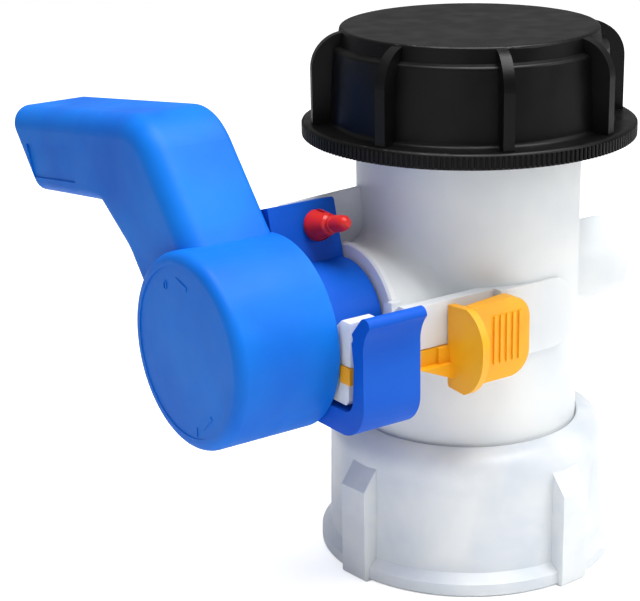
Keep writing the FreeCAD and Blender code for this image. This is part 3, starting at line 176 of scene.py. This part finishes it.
blueLook = mouldedPlastic(bluePolypropylene)
paintedShadeBlueLook = mouldedPlastic(paintedShadeBluePolypropylene)
hdpeLook = mouldedPlastic(naturalHdpe)
nutLook = mouldedPlastic(nutHdpe)
blackLook = mouldedPlastic(blackPolypropylene)
yellowLook = mouldedPlastic(yellowPolypropylene)
redLook = mouldedPlastic(redPolyethylene)
acetalLook = mouldedPlastic(whiteAcetal)
fibreLook = mouldedPlastic(glassFilledPolypropylene)
gasketLook = mouldedPlastic(greyGasketRubber)
rubberLook = mouldedPlastic(blackEpdm)
steelLook = turnedSteel(stainlessSteel)

finishes = {
    "valve_body": hdpeLook, "union_nut": nutLook, "outlet_cap": blackLook, "handle_lever": blueLook,
    # painted shade: the drive collar takes the darker copy of the lever's blue
    "drive_collar": paintedShadeBlueLook, "lock_latch": yellowLook, "security_pin": redLook,
    "cap_gasket": gasketLook, "inlet_gasket": gasketLook, "nut_retaining_ring": acetalLook,
    "stem": fibreLook, "butterfly_disc": fibreLook, "disc_edge_seal": rubberLook, "disc_screws": steelLook,
    "stem_bush_outer": acetalLook, "stem_bush_tail": acetalLook, "thrust_washer": acetalLook,
    "stem_retaining_clip": steelLook, "stem_o_rings": rubberLook, "hub_screws": steelLook,
    "stem_end_washer": steelLook, "stem_end_screw": steelLook,
}
for name, look in finishes.items():
    for slotOfNode in nodes[name].material_slots:
        slotOfNode.material = look
print("materials on", len(finishes), "nodes")


def openTree(name, inputs):  # a geometry tree with its sockets, and what its input node gives
    tree = bpy.data.node_groups.new(name, "GeometryNodeTree")
    tree.interface.new_socket("Geometry", in_out="OUTPUT", socket_type="NodeSocketGeometry")
    for label, kind in inputs:
        tree.interface.new_socket(label, in_out="INPUT", socket_type=f"NodeSocket{kind}")
    return tree, addNode(tree, "NodeGroupInput").outputs


def closeTree(tree, geometry, height, material):  # lifts the geometry, makes it real and gives it its material
    lift = addNode(tree, "ShaderNodeCombineXYZ", links={"Z": height})
    place = addNode(tree, "GeometryNodeTransform",
                    links={"Geometry": geometry, "Translation": lift.outputs["Vector"]})
    solid = addNode(tree, "GeometryNodeRealizeInstances", links={"Geometry": place.outputs["Geometry"]})
    dressed = addNode(tree, "GeometryNodeSetMaterial",
                      links={"Geometry": solid.outputs["Geometry"], "Material": material})
    addNode(tree, "NodeGroupOutput", links={"Geometry": dressed.outputs["Geometry"]})


knurl = {"radius": 40.95, "teeth": 200, "toothRadius": 0.5, "toothSides": 8, "foot": 109.7, "height": 3.0}


def knurlTree():  # rods standing in a ring
    tree, given = openTree("knurl", (
        ("Radius", "Float"), ("Teeth", "Int"), ("Tooth Radius", "Float"), ("Tooth Height", "Float"),
        ("Middle Height", "Float"), ("Material", "Material")))
    ring = addNode(tree, "GeometryNodeMeshCircle",
                   links={"Radius": given["Radius"], "Vertices": given["Teeth"]})
    rod = addNode(tree, "GeometryNodeMeshCylinder", {"Vertices": knurl["toothSides"]},
                  {"Radius": given["Tooth Radius"], "Depth": given["Tooth Height"]})
    rods = addNode(tree, "GeometryNodeInstanceOnPoints",
                   links={"Points": ring.outputs["Mesh"], "Instance": rod.outputs["Mesh"]})
    closeTree(tree, rods.outputs["Instances"], given["Middle Height"], given["Material"])
    return tree


def fillInputs(modifier, values):  # a modifier's inputs are set by the identifiers of the tree's sockets
    for item in modifier.node_group.interface.items_tree:
        if item.in_out == "INPUT" and item.name in values:
            modifier[item.identifier] = values[item.name]


def growPiece(name, tree, values):
    thing = bpy.data.objects.new(name, bpy.data.meshes.new(name))
    bpy.context.collection.objects.link(thing)
    modifier = thing.modifiers.new("grow", "NODES")
    modifier.node_group = tree
    fillInputs(modifier, values)
    return keepMesh(thing)


capKnurl = growPiece("cap_knurl", knurlTree(), {
    "Radius": knurl["radius"] * mm, "Teeth": knurl["teeth"], "Tooth Radius": knurl["toothRadius"] * mm,
    "Tooth Height": knurl["height"] * mm, "Middle Height": (knurl["foot"] + knurl["height"] / 2) * mm,
    "Material": blackLook})
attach(capKnurl, "cap")
print("knurl:", len(capKnurl.data.polygons), "faces")


neckThread = {"name": "neck_thread", "radius": 28.2, "ridge": 1.5, "foot": 110.0, "turns": 3.0,
              "material": hdpeLook, "body": "body", "slot": "hdpe_natural"}
capThread = {"name": "cap_thread", "radius": 30.5, "ridge": 1.5, "foot": 113.0, "turns": 2.0,
             "material": blackLook, "body": "cap", "slot": "black_plastic"}
nutThread = {"name": "nut_thread", "radius": 30.25, "ridge": 1.55, "foot": 3.2, "turns": 2.25,
             "material": nutLook, "body": "nut", "slot": "hdpe_nut"}
pitch = 6.0
coilSteps = 96
ridgeSides = 10


def threadTree():  # a round ridge that winds up a cylinder, right-handed
    tree, given = openTree("thread", (
        ("Radius", "Float"), ("Ridge", "Float"), ("Turns", "Float"), ("Rise", "Float"),
        ("Foot", "Float"), ("Material", "Material")))
    coil = addNode(tree, "GeometryNodeCurveSpiral", {"Resolution": coilSteps}, {
        "Rotations": given["Turns"], "Start Radius": given["Radius"], "End Radius": given["Radius"],
        "Height": given["Rise"]})
    upright = addNode(tree, "GeometryNodeSetCurveNormal", {"mode": "Z_UP"}, {"Curve": coil.outputs["Curve"]})
    section = addNode(tree, "GeometryNodeCurvePrimitiveCircle", {"Resolution": ridgeSides},
                      {"Radius": given["Ridge"]})
    ridge = addNode(tree, "GeometryNodeCurveToMesh", {"Fill Caps": True},
                    {"Curve": upright.outputs["Curve"], "Profile Curve": section.outputs["Curve"]})
    closeTree(tree, ridge.outputs["Mesh"], given["Foot"], given["Material"])
    return tree


coilTree = threadTree()
for thread in (neckThread, capThread, nutThread):
    ridgePiece = growPiece(thread["name"], coilTree, {
        "Radius": thread["radius"] * mm, "Ridge": thread["ridge"] * mm, "Turns": thread["turns"],
        "Rise": thread["turns"] * pitch * mm, "Foot": thread["foot"] * mm, "Material": thread["material"]})
    ridgePiece.data.polygons.foreach_set("use_smooth", [True] * len(ridgePiece.data.polygons))
    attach(ridgePiece, thread["body"])
    print(thread["name"] + ":", len(ridgePiece.data.polygons), "faces")


hubMarks = {"name": "hub_marks", "face": -83.76, "height": 0.2, "tickWidth": 0.9,
            "ticks": [((2.8, 86.4), (-1.9, 84.8)), ((-10.9, 56.3), (-7.0, 52.7))],
            "numerals": [("0", (8.6, 82.6), 3.4), ("1", (-3.4, 49.6), 3.4)]}


def tickCorners(start, end, width):  # the corners, as (y, z), of a bar of that width from start to end
    along = (Vector(end) - Vector(start)).normalized() * width / 2
    across = Vector((-along.y, along.x))
    return [Vector(start) + across, Vector(start) - across, Vector(end) - across, Vector(end) + across]


def makeMarks(marks):  # ticks and numerals stand up from the face towards -X
    work = bmesh.new()
    for start, end in marks["ticks"]:
        corners = tickCorners(start, end, marks["tickWidth"])
        tick = work.faces.new([work.verts.new((marks["face"] * mm, y * mm, z * mm)) for y, z in corners])
        raised = bmesh.ops.extrude_face_region(work, geom=[tick])
        for item in raised["geom"]:
            if isinstance(item, bmesh.types.BMVert):
                item.co.x -= marks["height"] * mm
    for text, (y, z), size in marks["numerals"]:
        curve = bpy.data.curves.new(text, "FONT")
        curve.body = text
        curve.size = size * mm
        curve.extrude = marks["height"] / 2 * mm
        holder = bpy.data.objects.new(text, curve)
        bpy.context.collection.objects.link(holder)
        bpy.context.view_layer.update()
        letters = bpy.data.meshes.new_from_object(holder.evaluated_get(bpy.context.evaluated_depsgraph_get()))
        bpy.data.objects.remove(holder)
        letters.transform(Matrix(((0, 0, -1, (marks["face"] - marks["height"] / 2) * mm), (-1, 0, 0, y * mm),
                                  (0, 1, 0, z * mm), (0, 0, 0, 1))))
        work.from_mesh(letters)
    bmesh.ops.remove_doubles(work, verts=work.verts, dist=weldDistance)
    bmesh.ops.recalc_face_normals(work, faces=work.faces)
    mesh = bpy.data.meshes.new(marks["name"])
    work.to_mesh(mesh)
    work.free()
    return mesh


marksPiece = addPiece(hubMarks["name"], makeMarks(hubMarks), blueLook, "handle")
print("hub marks:", len(marksPiece.data.polygons), "faces")


studio = {"floorColour": "#f4f4f4", "floorSize": 1.6, "floorLift": 0.6, "sky": 0.25, "backdrop": 1.0,
          "aim": (0, 0, 0.07)}


def paleFloor():  # white paper: white to the camera, and still darkened by the object's shadow
    material, tree = newMaterial("whitePaper")
    paper = addNode(tree, "ShaderNodeBsdfPrincipled",
                    {"Base Color": linear(studio["floorColour"]), "Roughness": 0.9})
    ray = addNode(tree, "ShaderNodeLightPath")
    lift = addNode(tree, "ShaderNodeMath", {"operation": "MULTIPLY", 1: studio["floorLift"]},
                   {0: ray.outputs["Is Camera Ray"]})
    glow = addNode(tree, "ShaderNodeEmission", {"Color": linear("#ffffff")}, {"Strength": lift.outputs[0]})
    shader = addNode(tree, "ShaderNodeAddShader", links={0: paper.outputs[0], 1: glow.outputs[0]})
    finishMaterial(tree, shader)
    mesh = bpy.data.meshes.new("floor")
    half = studio["floorSize"] / 2
    corners = [(-half, -half, 0), (half, -half, 0), (half, half, 0), (-half, half, 0)]
    mesh.from_pydata(corners, [], [(0, 1, 2, 3)])
    mesh.materials.append(material)
    floor = bpy.data.objects.new("floor", mesh)
    bpy.context.collection.objects.link(floor)
    return floor


paleFloor()

world = bpy.data.worlds.new("studio")
bpy.context.scene.world = world
world.use_nodes = True
world.node_tree.nodes.clear()
ray = addNode(world.node_tree, "ShaderNodeLightPath")
soft = addNode(world.node_tree, "ShaderNodeBackground",
               {"Color": linear("#ffffff"), "Strength": studio["sky"]})
white = addNode(world.node_tree, "ShaderNodeBackground",
                {"Color": linear("#ffffff"), "Strength": studio["backdrop"]})
blend = addNode(world.node_tree, "ShaderNodeMixShader", links={
    0: ray.outputs["Is Camera Ray"], 1: soft.outputs[0], 2: white.outputs[0]})
addNode(world.node_tree, "ShaderNodeOutputWorld", links={"Surface": blend.outputs[0]})

lamps = {
    "topSoft": {"place": (0.05, -0.1, 0.75), "size": 0.6, "power": 8.6},
    "keyRight": {"place": (0.45, -0.6, 0.5), "size": 0.45, "power": 2.0},
    "fillLeft": {"place": (-0.7, -0.35, 0.25), "size": 0.6, "power": 0.6},
}
for name, lamp in lamps.items():
    light = bpy.data.lights.new(name, "AREA")
    light.size = lamp["size"]
    light.energy = lamp["power"]
    holder = bpy.data.objects.new(name, light)
    bpy.context.collection.objects.link(holder)
    place = Vector(lamp["place"])
    holder.location = place
    holder.rotation_euler = (Vector(studio["aim"]) - place).to_track_quat("-Z", "Y").to_euler()


shot = {"place": (-0.29049, -0.35617, 0.21536), "azimuth": -34.51, "elevation": 18.08, "roll": -1.01,
        "lens": 106.05, "sensor": 36, "near": 0.01}
azimuth, elevation, roll = (math.radians(shot[key]) for key in ("azimuth", "elevation", "roll"))
right = Vector((math.cos(azimuth), math.sin(azimuth), 0))
level = math.cos(elevation)
back = Vector((math.sin(azimuth) * level, -math.cos(azimuth) * level, math.sin(elevation)))
up = back.cross(right)
tiltedRight = math.cos(roll) * right + math.sin(roll) * up
tiltedUp = -math.sin(roll) * right + math.cos(roll) * up
camera = bpy.data.objects.new("camera", bpy.data.cameras.new("camera"))
bpy.context.collection.objects.link(camera)
turn = Matrix((tiltedRight, tiltedUp, back)).transposed().to_4x4()
camera.matrix_world = Matrix.Translation(Vector(shot["place"])) @ turn
camera.data.lens = shot["lens"]
camera.data.sensor_width = shot["sensor"]
camera.data.clip_start = shot["near"]
bpy.context.scene.camera = camera
bpy.context.scene.view_settings.view_transform = "Standard"

bpy.context.view_layer.update()
print("scene ready")
